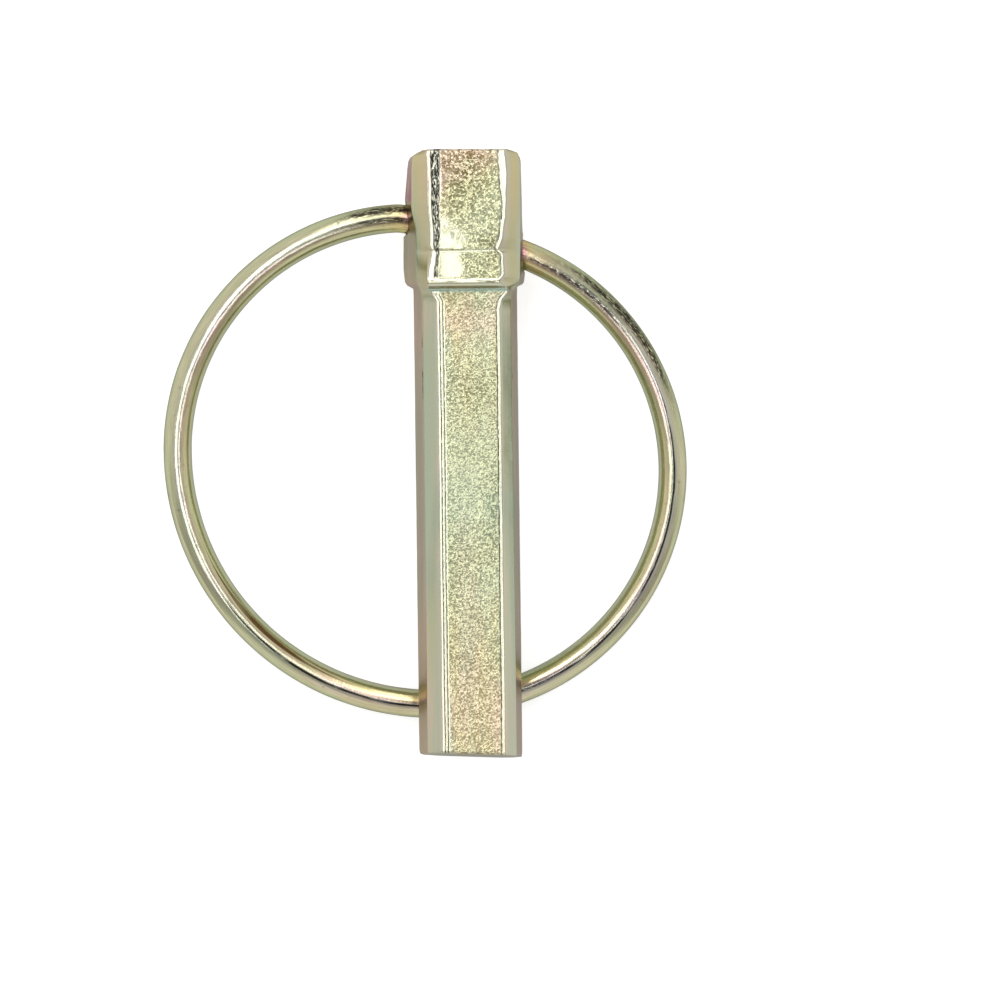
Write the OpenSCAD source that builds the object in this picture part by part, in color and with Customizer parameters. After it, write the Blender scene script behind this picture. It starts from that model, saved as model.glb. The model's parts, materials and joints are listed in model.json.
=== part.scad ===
// Lynch pin: a forged pin with a spring wire ring that snaps over the end of the shank.
// The pin lies on a table as it comes to rest, on the back of its head and on the ring.
// Origin: on the shank's axis at the shoulder. +Y runs towards the head and +Z is up.

/* [Shank] */
// Length of the shank below the shoulder
shank_length = 42.6; // [30:0.1:80]
// Width of the shank from parting line to parting line
shank_width = 9.3; // [8.6:0.05:9.8]
// Depth of the shank between its front and back flats
shank_depth = 8.6; // [7.6:0.1:9]
// Width of the front and back flats
shank_flat = 5.4; // [4:0.1:6]
// Width of the sloping facet on each side of a flat
shank_chamfer = 1.5; // [1:0.05:1.7]
// Radius of the shank's long edges
shank_edge = 0.45; // [0.2:0.05:0.7]
// Length of the small chamfer round the sheared end
tip_break = 0.25; // [0.1:0.05:0.5]
// Angle of the sheared end out of square
tip_slant = 2.4; // [0:0.1:5]

/* [Head] */
// Length of the head above the shoulder
head_length = 12.2; // [11:0.1:16]
// Width of the head at its top
head_top_width = 10.3; // [9.8:0.05:11]
// Depth of the head at its top
head_top_depth = 9.6; // [9:0.1:10.4]
// Width of the collar
collar_width = 11.1; // [10.6:0.05:12]
// Depth of the collar
collar_depth = 10; // [9.4:0.1:10.6]
// Height of the collar, from the shoulder to the crease
collar_height = 2.9; // [2.6:0.1:4]
// Width of the head's front and back flats
head_flat = 6.8; // [5.6:0.1:7.4]
// Width of those flats where they pinch in at the crease
crease_flat = 5.8; // [4.6:0.1:6.6]
// Depth of the crease in the front and the back of the head
crease_depth = 0.2; // [0.1:0.05:0.6]
// Width of the sloping facet on each side of a head flat
head_chamfer = 1.6; // [1.2:0.05:1.9]
// Radius of the head's long edges
head_edge = 0.6; // [0.3:0.05:0.9]
// Rounding of the top of the head
head_round = 0.5; // [0.3:0.05:1]
// Length of the sloping blend from the shank's flats up to the collar
neck_length = 0.8; // [0.5:0.05:1.5]

/* [Hinge] */
// Height of the hinge bore above the shoulder, at the middle of the head
bore_height = 4.5; // [4.2:0.1:5.5]
// Diameter of the hinge bore
bore_d = 3.2; // [3:0.05:3.4]
// Slope of the hinge bore across the head, down to the right
bore_slope = 17; // [12:0.5:20]

/* [Ring] */
// Diameter of the ring's wire
wire_d = 2.6; // [2.4:0.05:2.8]
// Radius of the bend where the wire leaves the left end of the bore
elbow_r = 4.5; // [4:0.1:5]
// Angle of that bend
elbow_angle = 20.5; // [16:0.5:22]
// Distance of that bend's start from the middle of the bore
elbow_start = 5.1; // [4.9:0.05:5.3]
// Radius of the ring's left side
left_r = 21; // [20:0.1:22]
// Angle that the left side turns through
left_angle = 85.5; // [82:0.5:90]
// Radius of the ring's far end, which passes behind the shank
far_r = 23.3; // [22.7:0.1:24.7]
// Angle that the far end turns through
far_angle = 104.5; // [100:0.5:108]
// Gap in the bore between the ends of the wire
wire_gap = 2.4; // [1:0.1:4]
// Gap between the closed ring and the shank's back
ring_gap = 0.06; // [0.03:0.01:0.2]

/* [Rest] */
// Roll of the resting pin about its length, right side down
rest_roll = 3.7; // [0:0.1:6]

/* [Hidden] */
$fn = 64;

steps_per_edge = 4;
// Least distance from the sloping facets out to the parting lines.
min_side = 0.1;
wire_sides = 24;
step_angle = 4;
// The swept wire is drawn this much under size, so that its facets end inside the round ends.
seam = 0.005;
samples_per_arc = 40;
solver_steps = 30;

// Where the side line between facet and parting line lies, as a share of the way in to the facet.
draft_end = 0.62;
// The shoulder's blend ends this far below the collar's foot line, already this much wider.
shoulder_drop = 0.1;
shoulder_flare = 0.08;
// Height at which the collar is full, and what it still lacks there in half width.
collar_foot = 0.3;
foot_draft = 0.04;
// Half height of the crease, and how far the facets spread and the sides draw in beside it.
crease_blend = 0.35;
crease_spread = 0.5;
crease_pinch = 0.05;
// The head's body starts this much smaller than the collar, and its flats are full at body_start.
body_step = [0.1, 0.03];
body_start = collar_height + 1.9;
// Share of head_round at the middle one of the three stations that round the top.
round_share = 0.3;

// A station is [height, half width, half depth, half flat, facet width, edge radius, slope across].
shank_section = [shank_width / 2, shank_depth / 2, shank_flat / 2, shank_chamfer, shank_edge];
collar = [collar_width / 2, collar_depth / 2];
waist = [crease_flat / 2, head_chamfer + crease_spread, head_edge];
body = [head_flat / 2, head_chamfer, head_edge];
slant = tan(-tip_slant);
stations = [
    concat([-shank_length], inset(shank_section, tip_break), [slant]),
    concat([-shank_length + tip_break], shank_section, [slant]),
    concat([-neck_length], shank_section, [0]),
    concat(
        [-shoulder_drop, shank_width / 2 + shoulder_flare, collar[1] - shoulder_drop],
        [head_flat / 2 - shoulder_drop, shank_chamfer, shank_edge, 0]
    ),
    concat([collar_foot], collar - [foot_draft, 0], body, [0]),
    concat([collar_height - crease_blend], collar, waist, [0]),
    concat([collar_height], collar - [crease_pinch, crease_depth], waist, [0]),
    concat([collar_height + crease_blend], collar - body_step, waist, [0]),
    concat([body_start], body_at(body_start), body, [0]),
    concat([head_length - head_round], top_inset(0), body, [0]),
    concat([head_length - round_share * head_round], top_inset(round_share * head_round), body, [0]),
    concat([head_length], top_inset(head_round), body, [0]),
];

// The same section, drawn in by d all round.
function inset(s, d) = [s[0] - d, s[1] - d, s[2] - d / 2, s[3], s[4]];

// Half width and half depth of the head's tapered body at height y.
function body_at(y) =
    let (t = (y - collar_height) / (head_length - collar_height))
    (collar - body_step) * (1 - t) + top_inset(0) * t;

// Half width and half depth of the top of the head, drawn in by d.
function top_inset(d) = [head_top_width / 2 - d, head_top_depth / 2 - d];

// Corners of a station's section, anticlockwise from the right-hand parting line.
function corners(s) =
    let (w = s[1], d = s[2], f = s[3], c = s[4], ex = min(f + c, w - min_side), ez = d - c)
    [
        [w, 0], [w - draft_end * (w - ex), ez], [f, d], [-f, d], [-w + draft_end * (w - ex), ez],
        [-w, 0], [-w + draft_end * (w - ex), -ez], [-f, -d], [f, -d], [w - draft_end * (w - ex), -ez]
    ];

// Points that round the corner b between its neighbours a and c with radius r.
function round_corner(a, b, c, r) =
    let (
        u = (a - b) / norm(a - b),
        v = (c - b) / norm(c - b),
        half = acos(min(1, max(-1, u * v))) / 2,
        reach = r / tan(half),
        hub = b + (u + v) / norm(u + v) * r / sin(half),
        from = b + u * reach - hub,
        to = b + v * reach - hub,
        turn = 180 - 2 * half
    )
    [
        for (i = [0 : steps_per_edge])
            let (t = turn * i / steps_per_edge)
            hub + (from * sin(turn - t) + to * sin(t)) / sin(turn)
    ];

// A station's rounded section as points in space.
function ring_of_points(s) =
    let (p = corners(s), n = len(p))
    [
        for (i = [0 : n - 1], q = round_corner(p[(i + n - 1) % n], p[i], p[(i + 1) % n], s[5]))
            [q[0], s[0] + s[6] * q[0], q[1]]
    ];

// A solid through all the stations, closed with a flat at each end.
module loft(list) {
    rings = [for (s = list) ring_of_points(s)];
    n = len(rings[0]);
    last = len(rings) - 1;
    polyhedron(
        points = [for (r = rings, p = r) p],
        faces = concat(
            [[for (i = [0 : n - 1]) i]],
            [
                for (k = [0 : last - 1], i = [0 : n - 1])
                    let (j = (i + 1) % n)
                    [k * n + i, (k + 1) * n + i, (k + 1) * n + j, k * n + j]
            ],
            [[for (i = [n - 1 : -1 : 0]) last * n + i]]
        ),
        convexity = 4
    );
}

// The wire's centre line in its own plane: it leaves the bore to the left and turns anticlockwise.
close_angle = 360 - elbow_angle - left_angle - far_angle;
close_r = (
    elbow_r * rise(180, elbow_angle)
    + left_r * rise(180 + elbow_angle, left_angle)
    + far_r * rise(180 + elbow_angle + left_angle, far_angle)
) / -rise(540 - close_angle, close_angle);
turns = [[elbow_r, elbow_angle], [left_r, left_angle], [far_r, far_angle], [close_r, close_angle]];
arcs = trace([-elbow_start, 0], 180, 0);
wire_end = end_of(arcs[3])[0];

// Sideways travel of an arc of radius 1 that starts at heading h and turns through t.
function rise(h, t) = cos(h) - cos(h + t);

// End point of an arc [centre, radius, heading, turn].
function end_of(arc) = arc[0] + arc[1] * [sin(arc[2] + arc[3]), -cos(arc[2] + arc[3])];

// The arcs one after another, each tangent to the one before.
function trace(from, heading, k) =
    k == len(turns) ? [] :
    let (arc = [from + turns[k][0] * [-sin(heading), cos(heading)], turns[k][0], heading, turns[k][1]])
    concat([arc], trace(end_of(arc), heading + turns[k][1], k + 1));

// Tilt that lays the ring behind the right-hand edge of the shank's back flat.
near_line = shank_flat / 2 * [cos(bore_slope), sin(bore_slope)];
far_way = [sin(bore_slope), -cos(bore_slope)];
from_hub = near_line - arcs[3][0];
hub_along = from_hub * far_way;
cross_at = near_line + far_way * (-hub_along + sqrt(pow(hub_along, 2) + pow(close_r, 2) - from_hub * from_hub));
ring_tilt = asin((shank_depth / 2 + ring_gap + wire_d / 2) / -cross_at[1]);

// Heights above the origin of the pin and the ring when the pin is pitched by p and rolled.
function low_of(points, p) =
    min([for (q = points) -q[0] * sin(rest_roll) + cos(rest_roll) * (q[1] * sin(p) + q[2] * cos(p))]);
function hung(q) =
    let (y = q[1] * cos(ring_tilt))
    [
        q[0] * cos(bore_slope) + y * sin(bore_slope),
        bore_height - q[0] * sin(bore_slope) + y * cos(bore_slope),
        q[1] * sin(ring_tilt)
    ];
pin_points = [for (s = stations, q = ring_of_points(s)) q];
wire_points = [
    for (arc = arcs, i = [0 : samples_per_arc])
        let (h = arc[2] + arc[3] * i / samples_per_arc)
        hung(arc[0] + arc[1] * [sin(h), -cos(h)])
];

// Pitch at which the head and the ring touch the table together, found by halving.
function rest_pitch_between(lo, hi, k) =
    let (mid = (lo + hi) / 2)
    k == 0 ? mid :
    low_of(pin_points, mid) > low_of(wire_points, mid) - wire_d / 2
        ? rest_pitch_between(lo, mid, k - 1)
        : rest_pitch_between(mid, hi, k - 1);
rest_pitch = rest_pitch_between(-8, 2, solver_steps);

module laid() {
    rotate([rest_pitch, rest_roll, 0]) children();
}

// The hinge's frame: +X along the bore to the right, -Y towards the far end of the ring.
module at_hinge() {
    translate([0, bore_height, 0]) rotate([0, 0, -bore_slope]) children();
}

module rod(from, to, d) {
    translate([from, 0, 0]) rotate([0, 90, 0]) cylinder(d = d, h = to - from);
}

// The bent stretch of the wire, as a tube along the arcs. Its ends meet the round ends of the wire.
module swept_wire() {
    path = [
        for (arc = arcs, i = [arc == arcs[0] ? 0 : 1 : steps_of(arc)])
            let (h = arc[2] + arc[3] * i / steps_of(arc))
            [arc[0] + arc[1] * [sin(h), -cos(h)], h]
    ];
    n = len(path);
    polyhedron(
        points = [
            for (p = path, j = [0 : wire_sides - 1])
                let (t = 360 * j / wire_sides, r = wire_d / 2 - seam)
                [p[0][0] - r * cos(t) * sin(p[1]), p[0][1] + r * cos(t) * cos(p[1]), r * sin(t)]
        ],
        faces = concat(
            [[for (j = [0 : wire_sides - 1]) j]],
            [
                for (k = [0 : n - 2], j = [0 : wire_sides - 1])
                    let (i = (j + 1) % wire_sides)
                    [k * wire_sides + j, (k + 1) * wire_sides + j, (k + 1) * wire_sides + i, k * wire_sides + i]
            ],
            [[for (j = [wire_sides - 1 : -1 : 0]) (n - 1) * wire_sides + j]]
        ),
        convexity = 6
    );
}

// Steps that an arc [centre, radius, heading, turn] is drawn in.
function steps_of(arc) = ceil(arc[3] / step_angle);

module pin() {
    color([0.70, 0.68, 0.56]) laid() difference() {
        loft(stations);
        at_hinge() rod(-collar_width, collar_width, bore_d);
    }
}

module ring() {
    color([0.74, 0.73, 0.66]) laid() at_hinge() rotate([ring_tilt, 0, 0]) {
        rod(-elbow_start, -wire_gap / 2, wire_d);
        swept_wire();
        rod(wire_gap / 2, wire_end, wire_d);
    }
}

pin();
ring();
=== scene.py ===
"""Dresses the lynch pin: a forged pin and the spring wire ring hinged through its head.

Sizes are in millimetres in the pin's own frame: X across the pin, Y along it towards the head, Z out of its
front flat, with the origin on the shank's axis at the shoulder. Attitude turns that frame into the row frame.
"""
import json
import logging
from dataclasses import dataclass, field
from enum import Enum

import bpy
import numpy as np
from mathutils import Matrix, Vector

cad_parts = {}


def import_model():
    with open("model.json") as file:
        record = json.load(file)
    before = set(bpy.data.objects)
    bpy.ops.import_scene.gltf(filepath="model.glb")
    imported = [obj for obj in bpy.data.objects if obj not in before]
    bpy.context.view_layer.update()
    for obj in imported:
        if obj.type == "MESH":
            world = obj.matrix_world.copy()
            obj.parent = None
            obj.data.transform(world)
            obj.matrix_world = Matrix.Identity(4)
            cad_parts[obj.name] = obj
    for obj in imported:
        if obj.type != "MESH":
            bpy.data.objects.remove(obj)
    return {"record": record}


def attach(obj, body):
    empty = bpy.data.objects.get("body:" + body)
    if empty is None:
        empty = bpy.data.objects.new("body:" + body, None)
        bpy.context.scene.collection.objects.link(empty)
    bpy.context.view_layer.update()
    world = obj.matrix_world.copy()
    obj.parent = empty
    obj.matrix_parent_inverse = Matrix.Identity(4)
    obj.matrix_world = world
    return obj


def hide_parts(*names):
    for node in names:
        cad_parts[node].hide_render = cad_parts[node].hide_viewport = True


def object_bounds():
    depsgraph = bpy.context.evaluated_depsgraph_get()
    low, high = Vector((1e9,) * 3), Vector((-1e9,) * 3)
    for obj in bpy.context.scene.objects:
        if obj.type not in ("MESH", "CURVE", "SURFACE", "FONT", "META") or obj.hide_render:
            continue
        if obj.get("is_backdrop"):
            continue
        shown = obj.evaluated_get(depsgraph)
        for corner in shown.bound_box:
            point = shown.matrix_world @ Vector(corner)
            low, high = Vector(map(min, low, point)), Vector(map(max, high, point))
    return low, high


LOG = logging.getLogger("lynch_pin")
MM = 0.001


class Slot(Enum):
    """The record's material slots."""

    PIN = "pin_steel"
    RING = "ring_wire"


class Mask(Enum):
    """The point attributes that the pieces hand to their materials."""

    CRINKLE = "crinkle"
    ROSE = "rose"
    LEVEL = "level"
    CAVITY = "cavity"
    POLISH_AND_HIGHLIGHT = "polish"
    STAIN = "stain"
    POOL = "pool"
    # Painted reflection: a thin black line on the ring's front.
    SEAM = "seam"
    BROWN_LINE = "singe"


def smooth_step(low: float, high: float, value: np.ndarray) -> np.ndarray:
    """Eases from 0 to 1.

    Args:
        low: Where the result is 0.
        high: Where the result is 1.
        value: The values to ease.

    Returns:
        3 t^2 - 2 t^3, with t the place of value between low and high.
    """
    t = np.clip((value - low) / (high - low), 0.0, 1.0)
    return t * t * (3.0 - 2.0 * t)


def bell(centre: float | np.ndarray, width: float | np.ndarray, value: np.ndarray) -> np.ndarray:
    """A Gaussian bell of height 1.

    Args:
        centre: Where the bell peaks.
        width: Its standard deviation.
        value: Where to read it.

    Returns:
        exp(-(value - centre)^2 / (2 width^2)).
    """
    return np.exp(-0.5 * ((value - centre) / width) ** 2)


def lattice_noise(points: np.ndarray, cell: tuple[float, float, float], seed: int) -> np.ndarray:
    """Smooth noise from random values on a lattice, eased between the eight corners round each point.

    Args:
        points: Points of shape (..., 3).
        cell: The lattice's spacing along each axis.
        seed: Seeds the lattice's values.

    Returns:
        Noise between -1 and 1, one value for each point.
    """
    size = 64
    table = np.random.default_rng(seed).uniform(-1.0, 1.0, (size, size, size))
    scaled = points / np.array(cell) + 1000.0
    base = np.floor(scaled).astype(int)
    part = scaled - base
    part = part * part * (3.0 - 2.0 * part)
    total = np.zeros(points.shape[:-1])
    for corner in np.ndindex(2, 2, 2):
        weight = np.ones(points.shape[:-1])
        index = []
        for axis in range(3):
            share = part[..., axis]
            weight = weight * (share if corner[axis] else 1.0 - share)
            index.append((base[..., axis] + corner[axis]) % size)
        total += weight * table[tuple(index)]
    return total


def fractal(points: np.ndarray, cell: float, seed: int, octaves: int = 3) -> np.ndarray:
    """Adds up lattice noise of halving cell and halving height.

    Args:
        points: Points of shape (..., 3).
        cell: The coarsest lattice spacing.
        seed: Seeds the first octave.
        octaves: How many are added.

    Returns:
        Noise of about -1 to 1.
    """
    total = np.zeros(points.shape[:-1])
    for step in range(octaves):
        scale = cell / 2**step
        total += lattice_noise(points, (scale, scale, scale), seed + step) / 2**step
    return total / 1.5


def follow(height: np.ndarray, table: tuple[tuple[float, float], ...], blend: float) -> np.ndarray:
    """Reads a size along the pin: straight lines between the table's rows, with rounded knees.

    Args:
        height: Heights to read at, any order.
        table: Rows of (height, size), rising in height.
        blend: Half length of the rounding at each knee.

    Returns:
        The mean of five readings spread evenly over blend either way.
    """
    knots, sizes = np.array(table).T
    spread = np.linspace(-blend, blend, 5)
    return np.mean([np.interp(height + step, knots, sizes) for step in spread], axis=0)


def grid_faces(rows: int, columns: int) -> np.ndarray:
    """Quads of a tube: a grid closed round its columns.

    Args:
        rows: Number of rows of points.
        columns: Number of points in a row.

    Returns:
        Vertex indices of shape (quads, 4).
    """
    index = np.arange(rows * columns).reshape(rows, columns)
    right = np.roll(index, -1, axis=1)
    quads = np.stack([index[:-1], right[:-1], right[1:], index[1:]], axis=-1)
    return quads.reshape(-1, 4)


def make_mesh(
    name: str, points: np.ndarray, faces: list[list[int]], masks: dict[Mask, np.ndarray]
) -> bpy.types.Object:
    """Makes a smooth-shaded object from points and faces.

    Args:
        name: The object's name.
        points: Vertices in metres, in the row frame.
        faces: Vertex indices of each face.
        masks: Point attributes by name.

    Returns:
        The new object, linked to the scene.
    """
    mesh = bpy.data.meshes.new(name)
    mesh.from_pydata(points.tolist(), [], faces)
    mesh.polygons.foreach_set("use_smooth", np.ones(len(mesh.polygons), bool))
    for mask, values in masks.items():
        layer = mesh.attributes.new(mask.value, "FLOAT", "POINT")
        layer.data.foreach_set("value", values.astype(np.float32).ravel())
    mesh.validate()
    obj = bpy.data.objects.new(name, mesh)
    bpy.context.scene.collection.objects.link(obj)
    return obj


@dataclass(frozen=True)
class Attitude:
    """How the pin lies in the row frame, read from the record's mount and joint."""

    turn: np.ndarray
    hinge: np.ndarray
    hinge_axis: np.ndarray

    @classmethod
    def from_record(cls, record: dict) -> "Attitude":
        """Builds the pin's axes from the shank mount's direction and the hinge's axis.

        Args:
            record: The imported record.

        Returns:
            The attitude, whose turn has the pin's X, Y and Z as columns.
        """
        shank = next(m for m in record["mounts"] if m["name"] == "shank")
        joint = record["behaviour"]["joints"][0]
        up = -np.array(shank["axis"], float)
        up /= np.linalg.norm(up)
        axis = np.array(joint["axis"], float)
        axis /= np.linalg.norm(axis)
        front = np.cross(axis, up)
        front /= np.linalg.norm(front)
        across = np.cross(up, front)
        return cls(np.column_stack([across, up, front]), np.array(joint["pos_m"], float), axis)

    def to_row(self, points: np.ndarray) -> np.ndarray:
        """Turns millimetres in the pin's frame into metres in the row frame."""
        return points @ self.turn.T * MM

    def bore_slope(self) -> float:
        """Angle in radians that the bore falls to the right across the head."""
        local = self.hinge_axis @ self.turn
        return float(np.arctan2(-local[1], local[0]))

    def bore_height(self) -> float:
        """Height in millimetres of the bore's middle above the shoulder."""
        return float((self.hinge @ self.turn)[1] / MM)


@dataclass
class ForgedPin:
    """The pin: shank, collar, head and sloping bore, forged in one piece and sheared at both ends."""

    shank_end: float = -42.6
    head_top: float = 12.2
    crease: float = 2.9
    tip_slant: float = -0.042
    bore_radius: float = 1.6
    side_points: tuple[int, ...] = (5, 7, 60, 7, 5, 5, 7, 60, 7, 5)
    edge_points: int = 4
    fine_share: float = 0.15
    left_half: tuple[tuple[float, float], ...] = (
        (-42.6, 4.60), (-42.3, 4.68), (-0.2, 4.70), (0.05, 5.26), (0.4, 5.50), (1.6, 5.62), (2.8, 5.60),
        (4.8, 5.56), (7.8, 5.39), (9.5, 5.23), (10.9, 5.11), (11.4, 5.05), (11.75, 4.88), (11.95, 4.56),
        (12.2, 4.04),
    )
    right_half: tuple[tuple[float, float], ...] = (
        (-42.6, 4.62), (-42.3, 4.70), (-0.1, 4.72), (0.12, 5.26), (0.4, 5.38), (1.4, 5.49), (2.7, 5.44),
        (4.2, 5.40), (4.9, 5.28), (7.7, 5.25), (11.3, 5.20), (11.7, 5.12), (12.0, 4.82), (12.2, 4.35),
    )
    half_depth: tuple[tuple[float, float], ...] = (
        (-42.6, 4.24), (-42.4, 4.30), (-0.82, 4.30), (-0.66, 4.33), (-0.52, 4.41), (-0.40, 4.58), (-0.26, 4.78),
        (-0.12, 4.91), (0.06, 4.98), (0.2, 5.00), (2.72, 5.00), (2.88, 4.92), (2.94, 4.92), (3.08, 4.98),
        (5.0, 4.95), (11.8, 4.81), (12.08, 4.76), (12.2, 4.58),
    )
    left_flat: tuple[tuple[float, float], ...] = (
        (-42.6, 2.84), (-30.0, 2.84), (-9.0, 2.84), (-1.6, 2.86), (-0.75, 3.36), (-0.4, 3.70), (0.4, 3.78),
        (1.2, 3.66), (1.9, 3.47), (2.6, 3.34), (2.95, 3.24), (3.3, 3.40), (4.6, 3.46), (5.9, 3.50), (7.4, 3.58),
        (9.5, 3.66), (12.2, 3.70),
    )
    right_flat: tuple[tuple[float, float], ...] = (
        (-42.6, 2.88), (-2.4, 2.88), (-1.5, 3.06), (-0.7, 3.74), (-0.3, 3.30), (0.1, 2.72), (0.3, 2.84), (0.5, 3.08),
        (0.8, 3.20), (2.6, 3.20), (3.0, 2.72), (3.6, 3.02), (4.4, 3.33), (6.0, 3.45), (8.0, 3.46), (9.5, 3.57), (12.2, 3.50),
    )
    left_strip: tuple[tuple[float, float], ...] = (
        (-42.6, 0.21), (-1.0, 0.21), (-0.3, 0.60), (0.4, 0.60), (2.6, 0.48), (3.0, 0.27), (12.2, 0.29),
    )
    right_strip: tuple[tuple[float, float], ...] = (
        (-42.6, 0.22), (-1.0, 0.22), (0.4, 0.22), (2.8, 0.22), (3.3, 0.34), (5.5, 0.34), (7.0, 0.32), (8.2, 0.46),
        (9.3, 0.65), (12.2, 0.63),
    )
    dark_band: tuple[tuple[float, float], ...] = (
        (-1.0, 0.0), (0.3, 0.36), (2.6, 0.24), (3.0, 0.42), (4.6, 0.60), (8.0, 0.76), (12.2, 0.84),
    )
    left_side: tuple[tuple[float, float], ...] = (
        (-42.6, 4.08), (-0.9, 4.10), (0.2, 4.60), (5.0, 4.66), (6.6, 5.00), (10.5, 4.97), (12.2, 4.80),
    )
    right_side: tuple[tuple[float, float], ...] = (
        (-42.6, 3.98), (-0.9, 4.00), (0.2, 4.80), (4.5, 4.90), (11.0, 4.95), (12.2, 4.70),
    )
    side_depth: tuple[tuple[float, float], ...] = (
        (-42.6, 2.97), (-0.6, 2.98), (0.3, 3.32), (2.9, 3.35), (11.3, 3.25), (12.2, 3.05),
    )
    flat_edge: tuple[tuple[float, float], ...] = ((-42.6, 0.12), (-0.6, 0.14), (0.4, 0.20), (12.2, 0.20))
    lip_slope: float = 0.19

    def heights(self) -> np.ndarray:
        """Heights of the rows of points: closest at the tip, the shoulder, the crease and the top."""
        spans = (
            (self.shank_end, self.shank_end + 0.5, 9),
            (self.shank_end + 0.5, -1.1, 236),
            (-1.1, 0.5, 36),
            (0.5, self.crease - 0.35, 18),
            (self.crease - 0.35, self.crease + 0.35, 20),
            (self.crease + 0.35, self.head_top - 0.8, 68),
            (self.head_top - 0.8, self.head_top, 18),
        )
        parts = [np.linspace(low, high, count, endpoint=False) for low, high, count in spans]
        return np.concatenate(parts + [np.array([self.head_top])])

    def corners(self, y: np.ndarray) -> tuple[np.ndarray, np.ndarray]:
        """Corner points and edge radii of the section at each height.

        The section is a ten-sided figure, anticlockwise from the right parting line: side, facet, front flat,
        facet, side, and the same behind. Slow noise moves the flats' edges, as the die's worn edge does.

        Args:
            y: Heights of the rows.

        Returns:
            Corners of shape (rows, 10, 2) and radii of shape (rows, 10).
        """
        left = follow(y, self.left_half, 0.08)
        right = follow(y, self.right_half, 0.08)
        depth = follow(y, self.half_depth, 0.07)
        side_l = np.minimum(follow(y, self.left_side, 0.3), left - 0.12)
        side_r = np.minimum(follow(y, self.right_side, 0.3), right - 0.12)
        side_z = np.minimum(follow(y, self.side_depth, 0.2), depth - 0.9)
        in_head = smooth_step(-0.2, 1.0, y)
        wander = [self.edge_wander(y, in_head, seed) for seed in range(4)]
        flat_l = np.minimum(follow(y, self.left_flat, 0.12), side_l - 0.5)
        flat_r = np.minimum(follow(y, self.right_flat, 0.12), side_r - 0.5)
        zero = np.zeros_like(y)
        corners = [
            (right, zero), (side_r, side_z), (flat_r + wander[0], depth), (-flat_l + wander[1], depth),
            (-side_l, side_z), (-left, zero), (-side_l, -side_z), (-flat_l + wander[2], -depth),
            (flat_r + wander[3], -depth), (side_r, -side_z),
        ]
        edge = follow(y, self.flat_edge, 0.3)
        radii = np.stack(
            [0.9 + zero, 0.32 + zero, edge, edge, 0.32 + zero, 0.9 + zero, 0.32 + zero, edge, edge, 0.32 + zero],
            axis=1,
        )
        return np.stack([np.stack(pair, axis=-1) for pair in corners], axis=1), radii

    def edge_wander(self, y: np.ndarray, in_head: np.ndarray, seed: int) -> np.ndarray:
        """Sideways wander of one of the flats' edges: slight on the shank, more on the head.

        Args:
            y: Heights of the rows.
            in_head: 0 on the shank and 1 on the head.
            seed: Picks the edge.

        Returns:
            Offsets in millimetres.
        """
        line = np.stack([np.full_like(y, 7.3 * seed), y, np.zeros_like(y)], axis=-1)
        slow = lattice_noise(line, (1.0, 2.4, 1.0), 60 + seed)
        quick = lattice_noise(line, (1.0, 0.45, 1.0), 70 + seed)
        return slow * (0.02 + 0.07 * in_head) + quick * (0.006 + 0.025 * in_head)

    def section_points(self, corners: np.ndarray, radii: np.ndarray) -> tuple[np.ndarray, np.ndarray]:
        """Rounds every corner with an arc and joins the arcs with evenly spaced points.

        Args:
            corners: Corners of shape (rows, 10, 2).
            radii: Edge radii of shape (rows, 10).

        Returns:
            Points of shape (rows, columns, 2), and for each column the place round the section: the number
            of its side or corner plus the share of the way along it.
        """
        count = corners.shape[1]
        before = corners[:, np.arange(count) - 1] - corners
        after = corners[:, (np.arange(count) + 1) % count] - corners
        before /= np.linalg.norm(before, axis=-1, keepdims=True)
        after /= np.linalg.norm(after, axis=-1, keepdims=True)
        half = np.arccos(np.clip((before * after).sum(-1), -1.0, 1.0)) / 2
        reach = (radii / np.tan(half))[..., None]
        middle = before + after
        middle /= np.linalg.norm(middle, axis=-1, keepdims=True)
        hub = corners + middle * (radii / np.sin(half))[..., None]
        start = corners + before * reach - hub
        stop = corners + after * reach - hub
        turn = (np.pi - 2 * half)[..., None]
        columns = []
        places = []
        for i in range(count):
            share = np.linspace(0.0, 1.0, self.edge_points)
            for t in share:
                arc = start[:, i] * np.sin(turn[:, i] * (1 - t)) + stop[:, i] * np.sin(turn[:, i] * t)
                columns.append(hub[:, i] + arc / np.sin(turn[:, i]))
                places.append(i - 0.5 + 0.5 * t if i else 9.5 + 0.5 * t)
            j = (i + 1) % count
            low = hub[:, i] + stop[:, i]
            high = hub[:, j] + start[:, j]
            for t in self.spacing(self.side_points[i]):
                columns.append(low * (1 - t) + high * t)
                places.append(i + 0.5 * t)
        return np.stack(columns, axis=1), np.array(places)

    def spacing(self, count: int) -> np.ndarray:
        """Shares of the way across a side at which its points lie: even, but closer at the edges of a flat.

        Args:
            count: Points on the side.

        Returns:
            The shares, none of them 0 or 1.
        """
        if count < 20:
            return np.linspace(0.0, 1.0, count + 2)[1:-1]
        fine = count // 3
        edge = np.linspace(0.0, self.fine_share, fine + 1)[1:]
        middle = np.linspace(self.fine_share, 1.0 - self.fine_share, count - 2 * fine + 2)[1:-1]
        return np.concatenate([edge, middle, 1.0 - edge[::-1]])

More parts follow.
